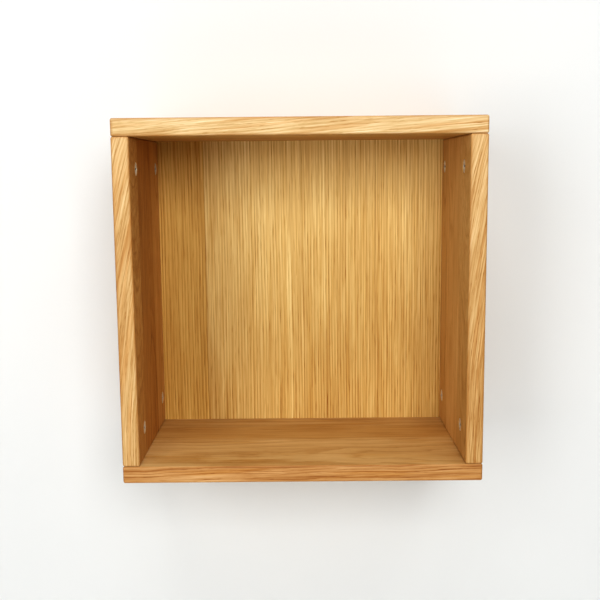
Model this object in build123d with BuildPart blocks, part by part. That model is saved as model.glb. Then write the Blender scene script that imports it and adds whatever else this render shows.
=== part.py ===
"""Open-fronted oak wall display box, put together with cam locks and hung on a split batten.

Millimetres, +Z up. The box opens towards -Y and its back rests on the wall, the plane Y = 0.
The origin lies on the wall, midway between the two screw holes of the wall batten.
"""

from build123d import *
import math
import os

# Box
width = 375.0  # X
height = 375.0  # Z
depth = 200.0  # Y, from the wall to the front edges
board = 18.0  # thickness of the four outer panels
ease = 2.0  # rounding on every panel edge
inner_depth = 182.0  # from the front edges to the face of the back panel
hang_height = 307.0  # from the underside of the box up to the wall screws

# Back panel, held in grooves in all four outer panels
back_board = 8.0
back_tongue = 7.0  # how far it reaches into each groove
groove_depth = 7.5
groove_width = 8.2

# Cam locks: one near the front and one near the back in each of the four corners
front_setback = 37.0  # front edge to the first cam
cam_pitch = 128.0  # first cam to second cam
cam_to_end = 32.0  # cam centre to the end of its side panel
cam_bore_r = 7.5
cam_bore_depth = 14.0
cam_r = 7.45
cam_height = 13.6
cam_sunk = 0.2  # cam face below the panel face
cam_turn = 190.0  # from locked to open, in degrees
cavity_r = 4.3
cavity_offset = 0.5  # makes the hollow draw the bolt in as the cam turns
cavity_half = 3.45
entry_r = 3.5
claw_inner_r = 2.0
slot_half = 2.15
drive_length = 9.0
drive_width = 1.8
drive_depth = 3.2
arrow_tip_r = 6.7
arrow_base_r = 5.2
arrow_half_width = 0.9
arrow_depth = 0.5

# Connecting bolts, screwed into the top and bottom panels and held by the cams
bolt_bore_r = 4.0
bolt_collar_r = 3.9
bolt_collar = 1.5
bolt_shank_r = 2.9
bolt_shank_end = 23.0
bolt_neck_r = 2.0
bolt_head_r = 3.3
bolt_head_short = 0.45  # head centre stops this far short of the cam's axis
bolt_drive = 3.6
bolt_drive_width = 1.0
bolt_drive_depth = 1.4
thread_length = 11.0
thread_pitch = 2.2
thread_core_r = 2.4
thread_crest_r = 3.15
thread_hole_r = 3.2
thread_hole_depth = 12.0

# Dowels, between the cams
dowel_step = 32.0  # cam to its nearer dowel
dowel_r = 4.0
dowel_hole_r = 4.05
dowel_in_shelf = 11.5
dowel_in_side = 18.5
dowel_hole_spare = 0.5
dowel_chamfer = 1.0
flutes = 14
flute_r = 0.4

# Split batten: the upper half is fixed in the box and the lower half to the wall
recess_gap = 0.3  # each half stays this far off the wall or the back panel
hanging_batten_length = 338.5
hanging_batten_height = 32.0  # at its wall side, where it is deepest
wall_batten_length = 300.0
wall_batten_height = 35.0  # at the wall
bevel_gap = 0.07  # between the two bevels, measured along Z
batten_ease = 0.8

# Screws through the hanging batten into the back panel
batten_screw_length = 16.0
batten_screw_r = 1.75
batten_screw_core_r = 1.2
batten_screw_pitch = 1.6
batten_screw_point = 3.0
batten_screw_head_r = 3.5
batten_screw_head = 1.75
batten_screw_xs = (-140.0, -60.0, 60.0, 140.0)
batten_screw_drop = 11.0  # below the underside of the top panel
batten_hole_r = 1.9
batten_sink_r = 3.7
pilot_r = 1.8
pilot_spare = 0.3
screw_drive = 4.0
screw_drive_width = 0.9
screw_drive_depth = 1.5

# Wall screw holes in the wall batten
wall_screw_spacing = 240.0
wall_hole_r = 2.5
wall_sink_r = 5.0

# Worked out from the above
half_width = width / 2
underside = -hang_height
topside = underside + height
floor_top = underside + board
ceiling = topside - board
inner_half = half_width - board
side_mid = half_width - board / 2
side_length = ceiling - floor_top
back_face = -depth + inner_depth
back_rear = back_face + back_board
back_mid = (back_face + back_rear) / 2
opening = 2 * inner_half
front_cam_y = -depth + front_setback
rear_cam_y = front_cam_y + cam_pitch
dowel_ys = (front_cam_y + dowel_step, rear_cam_y - dowel_step)
batten = -back_rear - recess_gap
bevel_tip = ceiling - hanging_batten_height
screw_z = ceiling - batten_screw_drop

sides = {"left": -1, "right": 1}
ends = {"bottom": -1, "top": 1}
rows = {"front": front_cam_y, "rear": rear_cam_y}


def save(part, name):
    part.label = name
    export_step(part, f"parts/{name}.step")


def joint_plane(side, end, y):
    """Where a side panel's end meets the top or bottom panel: local Z runs into the side panel."""
    z = ceiling if end > 0 else floor_top
    return Plane(origin=(side * side_mid, y, z), x_dir=(1, 0, 0), z_dir=(0, 0, -end))


def section_plane(base):
    """The plane that holds base's X axis across and its Z axis up, for a profile to revolve."""
    return Plane(origin=base.origin, x_dir=base.x_dir, z_dir=-base.y_dir)


def cam_plane(side, end, y):
    """On a side panel's inner face over a cam's axis: local X points at the bolt, Z into the box."""
    z = ceiling - cam_to_end if end > 0 else floor_top + cam_to_end
    return Plane(origin=(side * inner_half, y, z), x_dir=(0, 0, end), z_dir=(-side, 0, 0))


def thread_points(top, length, pitch, crest_r, core_r):
    """A row of thread ridges as (radius, height) points, going down from top."""
    points = []
    turns = int(length / pitch)
    for i in range(turns):
        z = top - i * pitch
        points += [(core_r, z), (crest_r, z - pitch / 3), (core_r, z - 2 * pitch / 3)]
    return points


def drive_cross(plane, length, breadth):
    """The outline of a screwdriver cross."""
    with BuildSketch(plane, mode=Mode.PRIVATE) as cross:
        Rectangle(length, breadth)
        Rectangle(breadth, length)
    return cross.sketch


def make_side_panel(name, side):
    with BuildPart() as panel:
        with BuildSketch(Plane.XY.offset(floor_top)):
            with Locations((side * side_mid, -depth / 2)):
                Rectangle(board, depth)
        extrude(amount=side_length)
        fillet(panel.edges(), radius=ease)
        # Groove for the back panel, over the whole height
        with BuildSketch(Plane.XY.offset(floor_top)):
            with Locations((side * (inner_half + groove_depth / 2), back_mid)):
                Rectangle(groove_depth, groove_width)
        extrude(amount=side_length, mode=Mode.SUBTRACT)
        for end in ends.values():
            for y in rows.values():
                with BuildSketch(cam_plane(side, end, y)):
                    Circle(cam_bore_r)
                extrude(amount=-cam_bore_depth, mode=Mode.SUBTRACT)
                with BuildSketch(joint_plane(side, end, y)):
                    Circle(bolt_bore_r)
                extrude(amount=cam_to_end, mode=Mode.SUBTRACT)
            for y in dowel_ys:
                with BuildSketch(joint_plane(side, end, y)):
                    Circle(dowel_hole_r)
                extrude(amount=dowel_in_side + dowel_hole_spare, mode=Mode.SUBTRACT)
    save(panel.part, name)


def make_shelf_panel(name, end):
    """The top or bottom panel, which runs across the ends of the side panels."""
    inner_z = ceiling if end > 0 else floor_top
    inner_face = Plane(origin=(0, 0, inner_z), x_dir=(1, 0, 0), z_dir=(0, 0, -end))
    with BuildPart() as panel:
        with BuildSketch(Plane.XY.offset(inner_z)):
            with Locations((0, -depth / 2)):
                Rectangle(width, depth)
        extrude(amount=end * board)
        fillet(panel.edges(), radius=ease)
        # Stopped groove for the back panel, with the round ends that a cutter leaves
        with BuildSketch(inner_face):
            with Locations((0, -end * back_mid)):
                SlotCenterToCenter(opening + 2 * groove_depth, groove_width)
        extrude(amount=-groove_depth, mode=Mode.SUBTRACT)
        for side in sides.values():
            for y in rows.values():
                with BuildSketch(joint_plane(side, end, y)):
                    Circle(thread_hole_r)
                extrude(amount=-thread_hole_depth, mode=Mode.SUBTRACT)
            for y in dowel_ys:
                with BuildSketch(joint_plane(side, end, y)):
                    Circle(dowel_hole_r)
                extrude(amount=-(dowel_in_shelf + dowel_hole_spare), mode=Mode.SUBTRACT)
    save(panel.part, name)


def make_back_panel(name):
    size = opening + 2 * back_tongue
    middle = (floor_top + ceiling) / 2
    with BuildPart() as panel:
        with BuildSketch(Plane.XZ.offset(-back_face)):
            with Locations((0, middle)):
                Rectangle(size, size)
        extrude(amount=-back_board)
        # Pilot holes for the hanging batten's screws, from behind
        with BuildSketch(Plane.XZ.offset(-back_rear)):
            with Locations(*[(x, screw_z) for x in batten_screw_xs]):
                Circle(pilot_r)
        extrude(amount=batten_screw_length - batten + pilot_spare, mode=Mode.SUBTRACT)
    save(panel.part, name)


def make_cam(name, side, end, y):
    face = cam_plane(side, end, y)
    turning = Axis(face.origin, face.z_dir)
    middle = face.offset(-board / 2)
    entry = face.x_dir.rotate(Axis(face.origin, face.z_dir), -cam_turn)
    entry_angle = math.radians(-cam_turn)
    with BuildPart() as cam:
        with BuildSketch(face.offset(-cam_sunk)):
            Circle(cam_r)
        extrude(amount=-cam_height)
        chamfer(cam.faces().sort_by(turning)[-1].edges(), length=0.4)
        chamfer(cam.faces().sort_by(turning)[0].edges(), length=0.4)
        # Hollow for the bolt's head, off the axis so that it tightens towards the locked end
        with BuildSketch(middle):
            reach = (cavity_offset * math.cos(entry_angle), cavity_offset * math.sin(entry_angle))
            with Locations(reach):
                Circle(cavity_r)
        extrude(amount=cavity_half, both=True, mode=Mode.SUBTRACT)
        # Curved slot that the bolt's neck passes along, from the entry round to the locked end
        with BuildSketch(middle):
            with BuildLine():
                outer = CenterArc((0, 0), cam_r + 1, -cam_turn, cam_turn)
                inner = CenterArc((0, 0), claw_inner_r, -cam_turn, cam_turn)
                Line(outer @ 0, inner @ 0)
                Line(outer @ 1, inner @ 1)
            make_face()
        extrude(amount=slot_half, both=True, mode=Mode.SUBTRACT)
        with BuildSketch(Plane(origin=middle.origin, z_dir=face.x_dir)):
            Circle(slot_half)
        extrude(amount=cam_r + 1, mode=Mode.SUBTRACT)
        # Entry hole for the bolt's head
        with BuildSketch(Plane(origin=middle.origin, z_dir=entry)):
            Circle(entry_r)
        extrude(amount=cam_r + 1, mode=Mode.SUBTRACT)
        cross = drive_cross(face.offset(-cam_sunk), drive_length, drive_width)
        extrude(cross, amount=-drive_depth, mode=Mode.SUBTRACT)
        # Arrow beside the rim, pointing the way the entry hole faces
        with BuildSketch(Plane(face.offset(-cam_sunk).origin, x_dir=entry, z_dir=face.z_dir)):
            Polygon(
                (arrow_tip_r, 0),
                (arrow_base_r, arrow_half_width),
                (arrow_base_r, -arrow_half_width),
                align=None,
            )
        extrude(amount=-arrow_depth, mode=Mode.SUBTRACT)
    save(cam.part, name)


def make_bolt(name, side, end, y):
    """Connecting bolt: a wood thread, a collar on the joint, a slim neck and a ball head."""
    base = joint_plane(side, end, y)
    head_centre = cam_to_end - bolt_head_short
    head_tip = head_centre + bolt_head_r
    neck_end = head_centre - math.sqrt(bolt_head_r**2 - bolt_neck_r**2)
    ring = bolt_shank_end / 2
    with BuildPart() as bolt:
        with BuildSketch(section_plane(base)):
            with BuildLine():
                Polyline(
                    (0, -thread_length),
                    (thread_core_r - 1, -thread_length),
                    *reversed(
                        thread_points(
                            0, thread_length, thread_pitch, thread_crest_r, thread_core_r
                        )
                    ),
                    (bolt_collar_r, 0),
                    (bolt_collar_r, bolt_collar),
                    (bolt_shank_r, bolt_collar),
                    (bolt_shank_r, ring - 1),
                    (bolt_collar_r, ring - 1),
                    (bolt_collar_r, ring + 1),
                    (bolt_shank_r, ring + 1),
                    (bolt_shank_r, bolt_shank_end - 1),
                    (bolt_neck_r, bolt_shank_end),
                    (bolt_neck_r, neck_end),
                )
                ThreePointArc(
                    (bolt_neck_r, neck_end), (bolt_head_r, head_centre), (0, head_tip)
                )
                Line((0, head_tip), (0, -thread_length))
            make_face()
        revolve(axis=Axis(base.origin, base.z_dir))
        cross = drive_cross(base.offset(head_tip), bolt_drive, bolt_drive_width)
        extrude(cross, amount=-bolt_drive_depth, mode=Mode.SUBTRACT)
    save(bolt.part, name)


def make_dowel(name, side, end, y):
    base = joint_plane(side, end, y)
    with BuildPart() as dowel:
        with BuildSketch(base.offset(-dowel_in_shelf)):
            Circle(dowel_r)
        extrude(amount=dowel_in_shelf + dowel_in_side)
        chamfer(dowel.edges().filter_by(GeomType.CIRCLE), length=dowel_chamfer)
        with BuildSketch(base.offset(-dowel_in_shelf)):
            with PolarLocations(dowel_r, flutes):
                Circle(flute_r)
        extrude(amount=dowel_in_shelf + dowel_in_side, mode=Mode.SUBTRACT)
    save(dowel.part, name)


def make_hanging_batten(name):
    """Upper half of the split batten: its bevel hooks down behind the lower half."""
    with BuildPart() as rail:
        with BuildSketch(Plane.YZ.offset(-hanging_batten_length / 2)):
            with BuildLine():
                Polyline(
                    (back_rear, ceiling),
                    (-recess_gap, ceiling),
                    (-recess_gap, bevel_tip),
                    (back_rear, bevel_tip + batten),
                    close=True,
                )
            make_face()
        extrude(amount=hanging_batten_length)
        fillet(rail.edges().filter_by(Axis.X), radius=batten_ease)
        with Locations(Plane.XZ.offset(recess_gap).rotated((180, 0, 0))):
            with Locations(*[(x, -screw_z) for x in batten_screw_xs]):
                CounterSinkHole(batten_hole_r, batten_sink_r, counter_sink_angle=90)
    save(rail.part, name)


def make_wall_batten(name):
    """Lower half of the split batten, screwed to the wall through two countersunk holes."""
    bevel_low = bevel_tip - recess_gap - bevel_gap
    bottom = bevel_low - wall_batten_height
    with BuildPart() as rail:
        with BuildSketch(Plane.YZ.offset(-wall_batten_length / 2)):
            with BuildLine():
                Polyline(
                    (-batten, bottom),
                    (0, bottom),
                    (0, bevel_low),
                    (-batten, bevel_low + batten),
                    close=True,
                )
            make_face()
        extrude(amount=wall_batten_length)
        fillet(rail.edges().filter_by(Axis.X), radius=batten_ease)
        with Locations(Plane.XZ.offset(batten)):
            with GridLocations(wall_screw_spacing, 0, 2, 1):
                CounterSinkHole(wall_hole_r, wall_sink_r, counter_sink_angle=90)
    save(rail.part, name)


def make_batten_screw(name, x):
    """Countersunk wood screw: local Z runs from the head's face to the point."""
    base = Plane(origin=(x, -recess_gap, screw_z), x_dir=(1, 0, 0), z_dir=(0, -1, 0))
    thread = batten_screw_length - batten_screw_head - batten_screw_point
    thread_end = batten_screw_length - batten_screw_point
    with BuildPart() as screw:
        with BuildSketch(section_plane(base)):
            with BuildLine():
                Polyline(
                    (0, 0),
                    (batten_screw_head_r, 0),
                    (batten_screw_r, batten_screw_head),
                    *reversed(
                        thread_points(
                            thread_end,
                            thread,
                            batten_screw_pitch,
                            batten_screw_r,
                            batten_screw_core_r,
                        )
                    ),
                    (0, batten_screw_length),
                    close=True,
                )
            make_face()
        revolve(axis=Axis(base.origin, base.z_dir))
        cross = drive_cross(base, screw_drive, screw_drive_width)
        extrude(cross, amount=screw_drive_depth, mode=Mode.SUBTRACT)
    save(screw.part, name)


os.makedirs("parts", exist_ok=True)

for side_name, side in sides.items():
    make_side_panel(f"{side_name}_side_panel", side)

for end_name, end in ends.items():
    make_shelf_panel(f"{end_name}_panel", end)

make_back_panel("back_panel")

for side_name, side in sides.items():
    for end_name, end in ends.items():
        for row_name, y in rows.items():
            place = f"{end_name}_{side_name}_{row_name}"
            make_cam(f"cam_lock_{place}", side, end, y)
            make_bolt(f"cam_bolt_{place}", side, end, y)
        for row_name, y in zip(rows, dowel_ys):
            make_dowel(f"dowel_{end_name}_{side_name}_{row_name}", side, end, y)

make_hanging_batten("hanging_batten")
make_wall_batten("wall_batten")
for number, x in enumerate(batten_screw_xs, start=1):
    make_batten_screw(f"batten_screw_{number}", x)
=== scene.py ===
"""Looks for the oak wall box: procedural oak, metal fittings, a white wall and soft light.

Metres, +Z up. The box opens towards -Y and hangs on a wall that is the plane Y = 0.
Wood patterns are solid: each board is cut from its own trunk, so a face, an edge and an end
grain of one board meet in the same growth rings.
"""

import math
from dataclasses import dataclass, replace

import bpy
from mathutils import Matrix, Vector


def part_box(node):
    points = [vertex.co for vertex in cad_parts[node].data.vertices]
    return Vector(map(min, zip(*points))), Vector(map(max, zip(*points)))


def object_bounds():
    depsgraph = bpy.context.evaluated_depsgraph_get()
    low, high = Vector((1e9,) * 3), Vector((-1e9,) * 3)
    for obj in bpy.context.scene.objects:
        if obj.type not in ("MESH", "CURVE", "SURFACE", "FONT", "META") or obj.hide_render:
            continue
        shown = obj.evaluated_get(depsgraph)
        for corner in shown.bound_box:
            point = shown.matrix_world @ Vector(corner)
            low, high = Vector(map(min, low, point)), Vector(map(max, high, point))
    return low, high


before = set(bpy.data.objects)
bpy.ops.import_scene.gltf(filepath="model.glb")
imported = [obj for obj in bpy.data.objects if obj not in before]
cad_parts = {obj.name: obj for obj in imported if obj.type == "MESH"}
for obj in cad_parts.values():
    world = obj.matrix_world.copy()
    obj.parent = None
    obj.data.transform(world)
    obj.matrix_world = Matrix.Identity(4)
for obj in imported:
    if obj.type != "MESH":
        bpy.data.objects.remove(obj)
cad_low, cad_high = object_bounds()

MM = 0.001
AXES = "XYZ"


# ---------------------------------------------------------------- node trees


class Tree:
    """One material's nodes. Every method that makes nodes returns an output socket."""

    def __init__(self, name):
        self.material = bpy.data.materials.new(name)
        self.material.use_nodes = True
        self.nodes = self.material.node_tree.nodes
        self.links = self.material.node_tree.links
        self.nodes.clear()

    def node(self, kind, inputs=(), **settings):
        made = self.nodes.new(kind)
        for key, value in settings.items():
            setattr(made, key, value)
        for key, value in dict(inputs).items():
            self.feed(made.inputs[key], value)
        return made

    def feed(self, socket, value):
        if isinstance(value, bpy.types.NodeSocket):
            self.links.new(value, socket)
        elif value is not None:
            socket.default_value = value

    def math(self, operation, a, b=None, c=None):
        inputs = {i: v for i, v in enumerate((a, b, c)) if v is not None}
        return self.node("ShaderNodeMath", inputs, operation=operation).outputs[0]

    def add(self, a, b):
        return self.math("ADD", a, b)

    def times(self, a, b):
        return self.math("MULTIPLY", a, b)

    def total(self, *values):
        result = values[0]
        for value in values[1:]:
            result = self.add(result, value)
        return result

    def vector(self, x, y, z):
        return self.node("ShaderNodeCombineXYZ", {0: x, 1: y, 2: z}).outputs[0]

    def place(self):
        """The point on the object at rest, in millimetres, as three sockets."""
        point = self.node("ShaderNodeTexCoord").outputs["Object"]
        split = self.node("ShaderNodeSeparateXYZ", {0: point})
        return [self.times(socket, 1 / MM) for socket in split.outputs]

    def facing(self, axis):
        """How squarely the surface faces along an axis, from 0 to 1."""
        normal = self.node("ShaderNodeTexCoord").outputs["Normal"]
        split = self.node("ShaderNodeSeparateXYZ", {0: normal})
        return self.math("ABSOLUTE", split.outputs[AXES.index(axis)])

    def noise(self, point, seed=0.0, detail=2.0, roughness=0.5):
        inputs = {"Vector": point, "W": seed, "Scale": 1.0}
        inputs.update({"Detail": detail, "Roughness": roughness})
        return self.node("ShaderNodeTexNoise", inputs, noise_dimensions="4D").outputs[0]

    def between(self, value, low, high, to_low=0.0, to_high=1.0, kind="SMOOTHSTEP"):
        inputs = {"Value": value, "From Min": low, "From Max": high}
        inputs.update({"To Min": to_low, "To Max": to_high})
        return self.node("ShaderNodeMapRange", inputs, interpolation_type=kind).outputs[0]

    def curve(self, value, stops):
        """A smooth grey curve through (place, height) stops."""
        ramp = self.node("ShaderNodeValToRGB", {0: value})
        elements = ramp.color_ramp.elements
        while len(elements) < len(stops):
            elements.new(0.5)
        for element, (place, height) in zip(elements, stops):
            element.position = place
            element.color = (height, height, height, 1.0)
        ramp.color_ramp.interpolation = "EASE"
        return ramp.outputs[0]

    def mix(self, share, a, b, blend="MIX"):
        """Two colours mixed by share, with any blend mode."""
        made = self.node("ShaderNodeMix", data_type="RGBA", blend_type=blend)
        for key, value in zip((0, 6, 7), (share, a, b)):
            self.feed(made.inputs[key], (*value, 1.0) if isinstance(value, tuple) else value)
        return made.outputs[2]

    def bump(self, height, depth):
        inputs = {"Height": height, "Distance": depth, "Strength": 1.0}
        return self.node("ShaderNodeBump", inputs).outputs[0]

    def finish(self, colour, roughness, normal, **constants):
        inputs = {"Base Color": colour, "Roughness": roughness, "Normal": normal}
        inputs.update({key.replace("_", " "): value for key, value in constants.items()})
        shader = self.node("ShaderNodeBsdfPrincipled", inputs)
        output = self.node("ShaderNodeOutputMaterial")
        self.links.new(shader.outputs[0], output.inputs[0])
        return self.material


# ---------------------------------------------------------------- wood


@dataclass(frozen=True)
class Species:
    """Colour and grain of one kind of wood, in linear colour and millimetres."""

    light: tuple  # colour of the palest wood
    warm: tuple  # colour of the warmer streaks
    ring: float  # mean width of a growth ring
    bands: float  # how much darker the early wood of a ring is
    pores: float  # how much darker the open pores are
    fibres: float  # how far the fine fibres go either side of the mean
    streaks: float  # strength of the broad streaks along the grain
    uneven: float = 1.0  # how much the width of the rings varies
    shine: float = 0.25  # specular level of the oiled surface


@dataclass(frozen=True)
class Stave:
    """One strip of a glued-up board, and where the heart of its trunk lay."""

    pith: tuple  # across and below the board's middle, in millimetres
    slope: float  # how far the grain climbs through the board, per unit length
    tone: float = 1.0
    warmth: float = 0.0
    bend: float = 0.0  # how much that slope changes in 100 mm along the board
    fade: float = 0.0  # painted light and shade: how much lighter the wood gets in 100 mm along the board


@dataclass(frozen=True)
class Cut:
    """How one board was cut and glued up."""

    axes: str  # the board's grain, width and thickness
    species: Species
    staves: tuple
    seams: tuple = ()  # glue lines, in millimetres across from the board's middle
    face: tuple = (1.0, 1.0, 1.0)  # the broad faces' colour against the edges': painted shade, and painted light on the bottom panel
    face_grain: float = 1.0  # how much of the edges' contrast the broad faces show
    seed: float = 1.0
    waves: float = 9.0  # how far the rings wander along the trunk, in millimetres
    straight: float = 1.0  # how much longer and straighter than usual the grain runs
    flame: float = None  # where one pale streak runs, in millimetres across from the middle


OAK = Species(
    light=(0.74, 0.51, 0.25),
    warm=(0.64, 0.33, 0.095),
    ring=3.4,
    bands=0.27,
    pores=0.24,
    fibres=0.17,
    streaks=0.6,
)
SPRUCE = Species(
    light=(0.84, 0.69, 0.47),
    warm=(0.78, 0.57, 0.33),
    ring=2.6,
    bands=0.28,
    pores=0.05,
    fibres=0.06,
    streaks=0.35,
)
BEECH = Species(
    light=(0.62, 0.42, 0.25),
    warm=(0.56, 0.33, 0.18),
    ring=1.8,
    bands=0.14,
    pores=0.25,
    fibres=0.06,
    streaks=0.3,
)
DEEPENING = (1.0, 1.6, 2.7)  # wood that is darker in red is darker still in green and blue

# Patterns drawn out along the grain. Each has its length along it and its width across it in
# millimetres, and an offset that sets it apart from the others.
FIBRES = {"length": 42, "width": 1.3, "offset": 23, "detail": 2.0, "roughness": 0.6}
PORES = {"length": 9, "width": 0.75, "offset": 31, "detail": 1.0}
STREAKS = {"length": 170, "width": 6.0, "offset": 47, "detail": 2.0, "roughness": 0.55}
PATCHES = {"length": 90, "width": 40, "offset": 59, "detail": 1.0}
WARM_STREAKS = {"length": 150, "width": 4.5, "offset": 71, "detail": 2.0}
FLAME_PATH = {"length": 90, "width": 70, "offset": 83}
RING_WAVES = {"length": 130, "width": 70}
RING_RIPPLES = {"length": 30, "width": 8, "offset": 11}
RIPPLE_HEIGHT = 2.6  # how far the ripples move a ring, in millimetres
RING_CURVE = [(0.0, 0.5), (0.12, 1.0), (0.45, 0.4), (0.8, 0.0), (1.0, 0.5)]
SLOW_RATE = 0.11  # scale of the slow changes in growth, per millimetre of radius
SLOW_SPREAD = 3.0  # the most rings by which they shift the pattern
QUICK_RATE = 0.4  # the same two for quick changes
QUICK_SPREAD = 1.4
YEAR_SPREAD = 0.7  # how much less the faintest year shows, for a species uneven by 1
STAVE_OFFSET = 3.7  # sets the patterns of neighbouring staves apart
NOISE_LOW = 0.3  # most of a noise pattern lies between these two
NOISE_HIGH = 0.7
PORE_START = 0.56  # where in its noise a pore starts, and where it is at its darkest
PORE_FULL = 0.70
PORE_LEAST = 0.25  # how much the pores show in the late wood, against the early wood
EARLY_WOOD = 0.8  # the band's height from which a pore shows fully
WARM_START = 0.45  # the same for a warm streak
WARM_FULL = 0.70
FACING_START = 0.55  # how squarely a surface has to face an axis to count as facing it
FACING_FULL = 0.95
GLUE_START = 0.1  # millimetres from a glue line's middle
GLUE_END = 0.4

# How the patterns change the lightness of the wood
STREAK_LIGHTER = 0.10
STREAK_DARKER = 0.22
PATCH_SPREAD = 0.05
END_GRAIN_DARKER = 0.22
DARKEST = 0.12
FLAME_LIGHTER = 0.14
FLAME_CORE = 1.0  # millimetres either side at full strength
FLAME_HALF_WIDTH = 4.5
FLAME_FADES = (-30, 110)  # millimetres along the board, from full strength to none
FLAME_WANDER = 12  # millimetres either side

GLUE_TINT = (0.45, 0.35, 0.25)  # a glue line's colour, against the warm wood's
GLUE_SHARE = 0.35
WEAR_AND_SHADE_TINT = (0.68, 0.58, 0.48)  # the darkened edge's colour against the warm wood's: handling wear and painted shade
WEAR_AND_SHADE_SHARE = 0.55
WEAR_AND_SHADE_START = 0.4  # millimetres from the edge
WEAR_AND_SHADE_END = 3.2
WEAR_AND_SHADE_RAGGED = 0.8  # how far the darkened edge strip's border wanders, in millimetres
GRAIN_DEPTH = 0.05 * MM
FIBRE_RISE = 0.35  # shares of that depth
PORE_FALL = 0.7
RING_FALL = 0.25
ROUGH_LOW = 0.48  # roughness of the smoothest and of the roughest fibres
ROUGH_HIGH = 0.60
PORE_ROUGHER = 0.15
RUB_SMOOTHER = 0.08


class Board:
    """The patterns in one board, in its own axes: along the grain, across it and through."""

    def __init__(self, tree, node, cut):
        self.tree = tree
        self.node = node
        self.cut = cut
        self.along, self.across, self.through = self.from_middle(cut.axes)
        self.past = [tree.math("GREATER_THAN", self.across, seam) for seam in cut.seams]
        bend = self.by_stave([s.bend / 100 for s in cut.staves])
        slope = self.by_stave([s.slope for s in cut.staves])
        climb = tree.times(self.along, tree.math("MULTIPLY_ADD", self.along, bend, slope))
        self.level = tree.add(self.through, climb)  # the same all along one fibre

    def from_middle(self, axes):
        low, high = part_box(self.node)
        point = self.tree.place()
        middle = [(a + b) / 2 / MM for a, b in zip(low, high)]
        order = [AXES.index(letter) for letter in axes]
        return [self.tree.math("SUBTRACT", point[i], middle[i]) for i in order]

    def edge_distance(self):
        """Millimetres from the board's nearest edge, for a point on its surface."""
        low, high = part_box(self.node)
        order = [AXES.index(letter) for letter in self.cut.axes]
        to_face = []
        for i, socket in zip(order, (self.along, self.across, self.through)):
            half = (high[i] - low[i]) / 2 / MM
            to_face.append(self.tree.math("SUBTRACT", half, self.tree.math("ABSOLUTE", socket)))
        a, b, c = to_face
        smaller = self.tree.math("MINIMUM", a, b)
        larger = self.tree.math("MAXIMUM", a, b)
        return self.tree.math("MAXIMUM", smaller, self.tree.math("MINIMUM", larger, c))

    def by_stave(self, values):
        """A number that changes from stave to stave."""
        value = values[0]
        for step, before, after in zip(self.past, values, values[1:]):
            value = self.tree.math("MULTIPLY_ADD", step, after - before, value)
        return value

    def stretched(self, length, width, offset=0.0, detail=2.0, roughness=0.5):
        """Noise drawn out along the grain, as long and as wide as given in millimetres."""
        tree = self.tree
        place = [tree.times(self.along, 1 / (length * self.cut.straight))]
        place += [tree.times(socket, 1 / width) for socket in (self.across, self.level)]
        count = len(self.cut.staves)
        seeds = [self.cut.seed + offset + STAVE_OFFSET * i for i in range(count)]
        number = self.by_stave(seeds)
        return tree.noise(tree.vector(*place), number, detail, roughness)

    def bands(self):
        """The early wood of the growth rings: 1 in its middle, 0 in the late wood."""
        tree, staves = self.tree, self.cut.staves
        beside = tree.math("SUBTRACT", self.across, self.by_stave([s.pith[0] for s in staves]))
        below = tree.math("SUBTRACT", self.level, self.by_stave([s.pith[1] for s in staves]))
        squares = tree.add(tree.times(beside, beside), tree.times(below, below))
        wave = tree.math("SUBTRACT", self.stretched(**RING_WAVES), 0.5)
        waves = tree.times(wave, self.cut.waves)
        ripple = tree.math("SUBTRACT", self.stretched(**RING_RIPPLES), 0.5)
        ripples = tree.times(ripple, RIPPLE_HEIGHT / self.cut.straight)
        radius = tree.total(tree.math("SQRT", squares), waves, ripples)
        slow = tree.noise(tree.vector(tree.times(radius, SLOW_RATE), 0.0, 0.0), self.cut.seed, 1.0)
        quick = tree.noise(tree.vector(tree.times(radius, QUICK_RATE), 0.0, 0.0), self.cut.seed, 1.0)
        uneven = tree.add(tree.times(slow, SLOW_SPREAD), tree.times(quick, QUICK_SPREAD))
        uneven = tree.times(uneven, self.cut.species.uneven)
        rings = tree.add(tree.times(radius, 1 / self.cut.species.ring), uneven)
        band = tree.curve(tree.math("FRACT", rings), RING_CURVE)
        number = tree.math("FLOOR", rings)
        year = tree.node("ShaderNodeTexWhiteNoise", {"W": number}, noise_dimensions="1D")
        faintest = 1.0 - YEAR_SPREAD * self.cut.species.uneven
        return tree.times(band, tree.between(year.outputs[0], 0, 1, faintest, 1.0, "LINEAR"))


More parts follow.
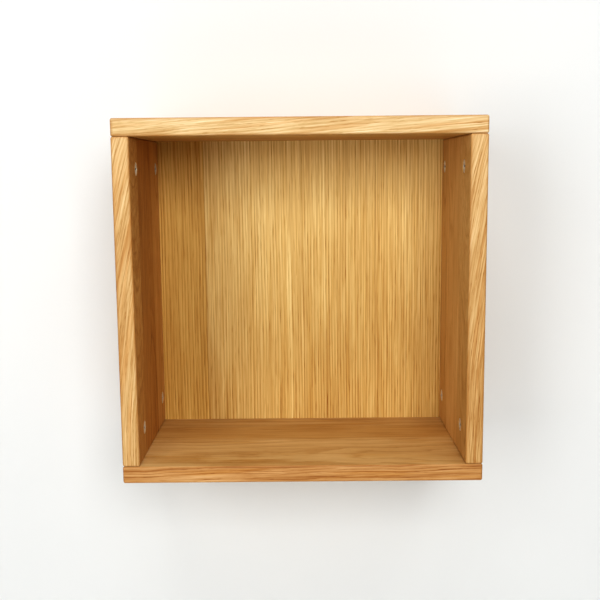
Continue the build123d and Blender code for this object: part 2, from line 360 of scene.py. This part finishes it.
def wood(node, cut):
    """The solid wood of one board."""
    species = cut.species
    tree = Tree(f"wood_{node}")
    board = Board(tree, node, cut)
    band = board.bands()
    fibres = board.stretched(**FIBRES)
    pores = tree.between(board.stretched(**PORES), PORE_START, PORE_FULL)
    pores = tree.times(pores, tree.between(band, 0.0, EARLY_WOOD, PORE_LEAST, 1.0, "LINEAR"))
    streaks = board.stretched(**STREAKS)
    patches = board.stretched(**PATCHES)
    broad_face = tree.between(tree.facing(cut.axes[2]), FACING_START, FACING_FULL)
    end_grain = tree.between(tree.facing(cut.axes[0]), FACING_START, FACING_FULL)

    def spread(pattern, low, high):
        """A noise pattern as a change in lightness."""
        return tree.between(pattern, NOISE_LOW, NOISE_HIGH, low, high, "LINEAR")

    # How light the wood is, against its palest
    grain = tree.total(
        tree.times(band, -species.bands),
        tree.times(pores, -species.pores),
        spread(fibres, -species.fibres, species.fibres),
        spread(streaks, STREAK_LIGHTER * species.streaks, -STREAK_DARKER * species.streaks),
    )
    if cut.flame is not None:
        path = board.stretched(**FLAME_PATH)
        left = cut.flame - FLAME_WANDER
        right = cut.flame + FLAME_WANDER
        path = tree.between(path, 0, 1, left, right, "LINEAR")
        aside = tree.math("ABSOLUTE", tree.math("SUBTRACT", board.across, path))
        flame = tree.between(aside, FLAME_CORE, FLAME_HALF_WIDTH, 1.0, 0.0)
        fading = tree.between(board.along, *FLAME_FADES, FLAME_LIGHTER, 0.0)
        grain = tree.add(grain, tree.times(flame, fading))
    grain = tree.times(grain, tree.between(broad_face, 0, 1, 1.0, cut.face_grain, "LINEAR"))
    light = tree.total(
        board.by_stave([s.tone for s in cut.staves]),
        # painted light and shade along the board
        tree.times(board.along, board.by_stave([s.fade / 100 for s in cut.staves])),
        grain,
        spread(patches, -PATCH_SPREAD, PATCH_SPREAD),
        tree.times(end_grain, -END_GRAIN_DARKER),
    )
    light = tree.math("MAXIMUM", light, DARKEST)
    deepened = tree.vector(*[tree.math("POWER", light, power) for power in DEEPENING])

    # Its colour: warmer streaks, painted light and shade on the broad faces against the edges, and
    # glue lines
    warmth = board.stretched(**WARM_STREAKS)
    warmth = tree.between(warmth, WARM_START, WARM_FULL, 0.0, species.streaks)
    warmth = tree.math("MAXIMUM", warmth, board.by_stave([s.warmth for s in cut.staves]))
    colour = tree.mix(warmth, species.light, species.warm)
    colour = tree.mix(1.0, colour, deepened, "MULTIPLY")
    # painted shade on the broad faces, and painted light on the bottom panel's
    colour = tree.mix(broad_face, colour, tree.mix(1.0, colour, cut.face, "MULTIPLY"))
    glue = tuple(c * d for c, d in zip(species.warm, GLUE_TINT))
    for seam in cut.seams:
        from_seam = tree.math("ABSOLUTE", tree.math("SUBTRACT", board.across, seam))
        line = tree.between(from_seam, GLUE_START, GLUE_END, GLUE_SHARE, 0.0)
        colour = tree.mix(line, colour, glue)

    # Edges darkened a little by wear from handling and by painted shade on the rounded edges
    ragged = tree.between(patches, NOISE_LOW, NOISE_HIGH, -WEAR_AND_SHADE_RAGGED, WEAR_AND_SHADE_RAGGED)
    wear_and_shade = tree.between(tree.add(board.edge_distance(), ragged), WEAR_AND_SHADE_START, WEAR_AND_SHADE_END, 1.0, 0.0)
    worn_and_shaded = tuple(c * d for c, d in zip(species.warm, WEAR_AND_SHADE_TINT))
    colour = tree.mix(tree.times(wear_and_shade, WEAR_AND_SHADE_SHARE), colour, worn_and_shaded)

    rough = tree.between(fibres, 0.25, 0.75, ROUGH_LOW, ROUGH_HIGH, "LINEAR")
    rough = tree.add(rough, tree.times(pores, PORE_ROUGHER))
    rough = tree.math("SUBTRACT", rough, tree.times(wear_and_shade, RUB_SMOOTHER))
    height = tree.math("SUBTRACT", tree.times(fibres, FIBRE_RISE), tree.times(pores, PORE_FALL))
    height = tree.math("SUBTRACT", height, tree.times(band, RING_FALL))
    normal = tree.bump(height, GRAIN_DEPTH)
    return tree.finish(colour, rough, normal, Specular_IOR_Level=species.shine)


# ---------------------------------------------------------------- metal


METAL_GRAIN = 0.35  # width of the fine texture, in millimetres
METAL_CLOUD = 3.5  # width of the dull patches
METAL_DEPTH = 0.03 * MM
METAL_SHADE = (0.86, 0.86, 0.86)  # the darkest that the fine texture makes it
STAIN_START = 0.42  # where in its noise a dull patch starts, and where it is at its darkest
STAIN_FULL = 0.7
STAIN = 0.45  # how far the dull patches go towards the dark colour
RECESS_SHADE = 0.75  # the same at the bottom of a recess: painted shade
FINE_ROUGHER = 0.16
STAIN_ROUGHER = 0.2


def metal(name, colour, dark, rough, recess=None):
    """Plated or cast metal. recess is an axis and the depths between which it turns dark with
    painted shade.
    """
    tree = Tree(name)
    point = tree.place()
    fine = tree.noise(tree.vector(*[tree.times(p, 1 / METAL_GRAIN) for p in point]), 3.0, 2.0)
    cloud = tree.noise(tree.vector(*[tree.times(p, 1 / METAL_CLOUD) for p in point]), 5.0, 3.0)
    stain_and_shade = tree.between(cloud, STAIN_START, STAIN_FULL, 0.0, STAIN)
    if recess:
        axis, start, end = recess
        # the bottom of a recess turns dark: painted shade
        away = tree.math("ABSOLUTE", point[AXES.index(axis)])
        recess_shade = tree.between(away, start, end, 0.0, RECESS_SHADE)
        stain_and_shade = tree.math("MAXIMUM", stain_and_shade, recess_shade)
    shown = tree.mix(stain_and_shade, colour, dark)
    shown = tree.mix(1.0, shown, tree.mix(fine, METAL_SHADE, (1.0, 1.0, 1.0)), "MULTIPLY")
    rougher = tree.add(tree.times(fine, FINE_ROUGHER), tree.times(stain_and_shade, STAIN_ROUGHER))
    roughness = tree.add(rough - FINE_ROUGHER / 2, rougher)
    return tree.finish(shown, roughness, tree.bump(fine, METAL_DEPTH), Metallic=1.0)


def dress(node, material):
    """Gives a CAD node its material, in its object's own slots."""
    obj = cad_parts[node]
    if not obj.material_slots:
        obj.data.materials.append(None)
    for slot in obj.material_slots:
        slot.link = "OBJECT"
        slot.material = material


# ---------------------------------------------------------------- the box

SHELF_AXES = "XYZ"
SIDE_AXES = "ZYX"
BACK_AXES = "ZXY"
DOWEL_AXES = "ZXY"
BATTEN_AXES = "XZY"

# The face colours paint shade on the broad faces, and light on the bottom panel's; the slopes of
# lightness along the staves paint light and shade.
CUTS = {
    "top_panel": Cut(
        SHELF_AXES,
        replace(OAK, light=(0.76, 0.55, 0.285)),
        staves=(
            Stave((-75, -110), -0.08, 1.02, fade=0.015),
            Stave((-30, 85), -0.03, 0.96, 0.2),
            Stave((60, -80), 0.02),
        ),
        seams=(-28, 36),
        face=(0.68, 0.54, 0.31),
        face_grain=0.65,
        seed=2.0,
    ),
    "bottom_panel": Cut(
        SHELF_AXES,
        replace(OAK, light=(0.70, 0.445, 0.23), ring=4.4, bands=0.42, streaks=0.9),
        staves=(
            Stave((-70, -120), -0.02, 0.865, 0.45, fade=-0.01),
            Stave((10, 90), 0.01, 0.75, 0.65, fade=-0.01),
            Stave((90, -75), -0.02, 0.81, 0.35, fade=-0.01),
        ),
        seams=(-3, 45),
        face=(1.06, 1.24, 1.34),
        face_grain=0.45,
        seed=7.0,
        waves=12.0,
    ),
    "left_side_panel": Cut(
        SIDE_AXES,
        OAK,
        staves=(
            Stave((-85, -95), -0.17, 0.94, bend=-0.04, fade=0.01),
            Stave((0, 90), -0.04, 0.86, 0.45, fade=-0.03),
            Stave((70, 70), 0.03, 1.10, 0.2, fade=-0.03),
        ),
        seams=(-56, 28),
        face=(0.80, 0.64, 0.43),
        face_grain=0.95,
        seed=13.0,
        waves=14.0,
    ),
    "right_side_panel": Cut(
        SIDE_AXES,
        OAK,
        staves=(
            Stave((-85, -100), -0.13, 0.91, 0.1, bend=-0.04, fade=0.04),
            Stave((10, 95), 0.03, 1.02, 0.4),
            Stave((60, -70), -0.03, 0.90, 0.3),
        ),
        seams=(-44, 40),
        face=(0.92, 0.85, 0.67),
        face_grain=0.65,
        seed=19.0,
        waves=14.0,
    ),
    "back_panel": Cut(
        BACK_AXES,
        replace(
            OAK,
            light=(0.815, 0.57, 0.212),
            warm=(0.76, 0.45, 0.09),
            ring=3.0,
            bands=0.23,
            fibres=0.17,
            streaks=0.2,
            uneven=0.4,
        ),
        staves=(
            # The stave next to the left side is darker and warmer: painted shade from the left side.
            # The other stave grows lighter towards the top: painted light.
            Stave((-700, -450), 0.01, 0.96, 0.6, fade=0.005),
            Stave((-700, -450), 0.01, 0.99, fade=0.045),
        ),
        seams=(-115,),
        seed=29.0,
        waves=6.0,
        straight=2.5,
        flame=-15.0,
    ),
    "hanging_batten": Cut(BATTEN_AXES, SPRUCE, (Stave((8, 40), 0.01),), seed=37.0),
    "wall_batten": Cut(BATTEN_AXES, SPRUCE, (Stave((-6, 34), -0.012),), seed=41.0),
}
CAM_RECESS = ("X", 169.9, 171.0)  # the cams' cross recess lies between these, in millimetres, and its bottom is painted dark as shade
zinc = metal("cast_zinc", (0.93, 0.92, 0.88), (0.08, 0.07, 0.06), rough=0.5, recess=CAM_RECESS)
steel = metal("plated_steel", (0.60, 0.60, 0.58), (0.30, 0.29, 0.27), rough=0.3)
yellow = metal("yellow_plated_steel", (0.70, 0.60, 0.33), (0.40, 0.30, 0.14), rough=0.32)
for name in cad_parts:
    if name in CUTS:
        dress(name, wood(name, CUTS[name]))
    elif name.startswith("dowel"):
        dress(name, wood(name, Cut(DOWEL_AXES, BEECH, (Stave((3, -14), 0.02),), seed=len(name))))
    elif name.startswith("cam_lock"):
        dress(name, zinc)
    elif name.startswith("cam_bolt"):
        dress(name, steel)
    elif name.startswith("batten_screw"):
        dress(name, yellow)


# ---------------------------------------------------------------- wall, floor, light, camera


WALL_HALF = 1.8
WALL_TOP = 1.6
WALL_GAP = 0.4 * MM  # keeps the wall's surface clear of the back of the battens
FLOOR_LEVEL = -1.1
FLOOR_HALF = 2.4
ROLLER_TEXTURE = 2.5  # width, in millimetres
ROLLER_SHADE = 0.985
ROLLER_DEPTH = 0.05 * MM
PAINT_ROUGH = 0.9
PAINT_SHINE = 0.2
LAMP_DISTANCE = 2.3
AMBIENT = 0.06  # how strongly the room lights the box
BACKGROUND = 0.8  # how bright the room itself looks


def plane(name, corners, material):
    mesh = bpy.data.meshes.new(name)
    mesh.from_pydata(corners, [], [tuple(range(len(corners)))])
    made = bpy.data.objects.new(name, mesh)
    bpy.context.scene.collection.objects.link(made)
    mesh.materials.append(material)
    return made


def paint(name, colour, one_sided=False):
    """Matt paint with the faint texture of a roller. One-sided paint can't be seen from behind."""
    tree = Tree(name)
    texture = tree.noise(tree.vector(*[tree.times(p, 1 / ROLLER_TEXTURE) for p in tree.place()]))
    shown = tree.mix(texture, tuple(ROLLER_SHADE * c for c in colour), colour)
    normal = tree.bump(texture, ROLLER_DEPTH)
    material = tree.finish(shown, PAINT_ROUGH, normal, Specular_IOR_Level=PAINT_SHINE)
    if one_sided:
        output = tree.nodes["Material Output"]
        seen = output.inputs[0].links[0].from_socket
        back = tree.node("ShaderNodeNewGeometry").outputs["Backfacing"]
        clear = tree.node("ShaderNodeBsdfTransparent").outputs[0]
        mixed = tree.node("ShaderNodeMixShader", {0: back, 1: seen, 2: clear})
        tree.links.new(mixed.outputs[0], output.inputs[0])
    return material


wall = plane(
    "wall",
    [
        (-WALL_HALF, WALL_GAP, FLOOR_LEVEL),
        (WALL_HALF, WALL_GAP, FLOOR_LEVEL),
        (WALL_HALF, WALL_GAP, WALL_TOP),
        (-WALL_HALF, WALL_GAP, WALL_TOP),
    ],
    paint("wall_paint", (0.82, 0.83, 0.82), one_sided=True),
)
wall.visible_shadow = False  # the lamp behind the wall lights the back of the box
plane(
    "floor",
    [
        (-FLOOR_HALF, -FLOOR_HALF, FLOOR_LEVEL),
        (FLOOR_HALF, -FLOOR_HALF, FLOOR_LEVEL),
        (FLOOR_HALF, FLOOR_HALF, FLOOR_LEVEL),
        (-FLOOR_HALF, FLOOR_HALF, FLOOR_LEVEL),
    ],
    paint("floor_paint", (0.8, 0.8, 0.79)),
)
middle = (cad_low + cad_high) / 2


def lamp(name, azimuth, elevation, size, power):
    """A square softbox aimed at the box. Azimuth 0 is straight in front, and 90 to the right."""
    data = bpy.data.lights.new(name, "AREA")
    data.size = size
    data.energy = power
    made = bpy.data.objects.new(name, data)
    a, e = math.radians(azimuth), math.radians(elevation)
    away = Vector((math.sin(a) * math.cos(e), -math.cos(a) * math.cos(e), math.sin(e)))
    made.location = middle + LAMP_DISTANCE * away
    made.rotation_euler = (-away).to_track_quat("-Z", "Y").to_euler()
    made.visible_camera = False
    bpy.context.scene.collection.objects.link(made)


lamp("front", 9, 18, 0.9, 23)
lamp("left", -30, 0, 0.9, 11)
lamp("high_front_left", -32, 20, 0.8, 6.7)
lamp("high_left", -10, 62, 0.8, 12)
lamp("high_right", 55, 62, 0.8, 9.5)
lamp("behind", 170, 30, 1.5, 28)

world = bpy.data.worlds.new("studio")
world.use_nodes = True
backdrop = world.node_tree.nodes["Background"]
backdrop.inputs[0].default_value = (1.0, 1.0, 1.0, 1.0)
strength = world.node_tree.nodes.new("ShaderNodeMapRange")
seen = world.node_tree.nodes.new("ShaderNodeLightPath").outputs["Is Camera Ray"]
world.node_tree.links.new(seen, strength.inputs["Value"])
strength.inputs["To Min"].default_value = AMBIENT
strength.inputs["To Max"].default_value = BACKGROUND
world.node_tree.links.new(strength.outputs[0], backdrop.inputs[1])
bpy.context.scene.world = world
bpy.context.scene.view_settings.view_transform = "Standard"
bpy.context.scene.view_settings.look = "Medium High Contrast"

# The camera was solved from the straight edges of the box in the photo
CAMERA_LENS = 54.47  # millimetres
CAMERA_SENSOR = 36.0
CAMERA_PLACE = (0.0008, -1.1109, 0.0163)
CAMERA_TURN = math.radians(0.122)
CAMERA_TILT = math.radians(-8.195)
CAMERA_ROLL = math.radians(0.527)
camera_data = bpy.data.cameras.new("camera")
camera_data.lens = CAMERA_LENS
camera_data.sensor_width = CAMERA_SENSOR
camera = bpy.data.objects.new("camera", camera_data)
bpy.context.scene.collection.objects.link(camera)
level_look = Matrix.Rotation(math.radians(90), 4, "X")  # a camera at rest looks straight down
look = Matrix.Rotation(CAMERA_TURN, 4, "Z") @ Matrix.Rotation(CAMERA_TILT, 4, "X")
look = look @ Matrix.Rotation(CAMERA_ROLL, 4, "Y") @ level_look
camera.matrix_world = Matrix.Translation(CAMERA_PLACE) @ look
bpy.context.scene.camera = camera
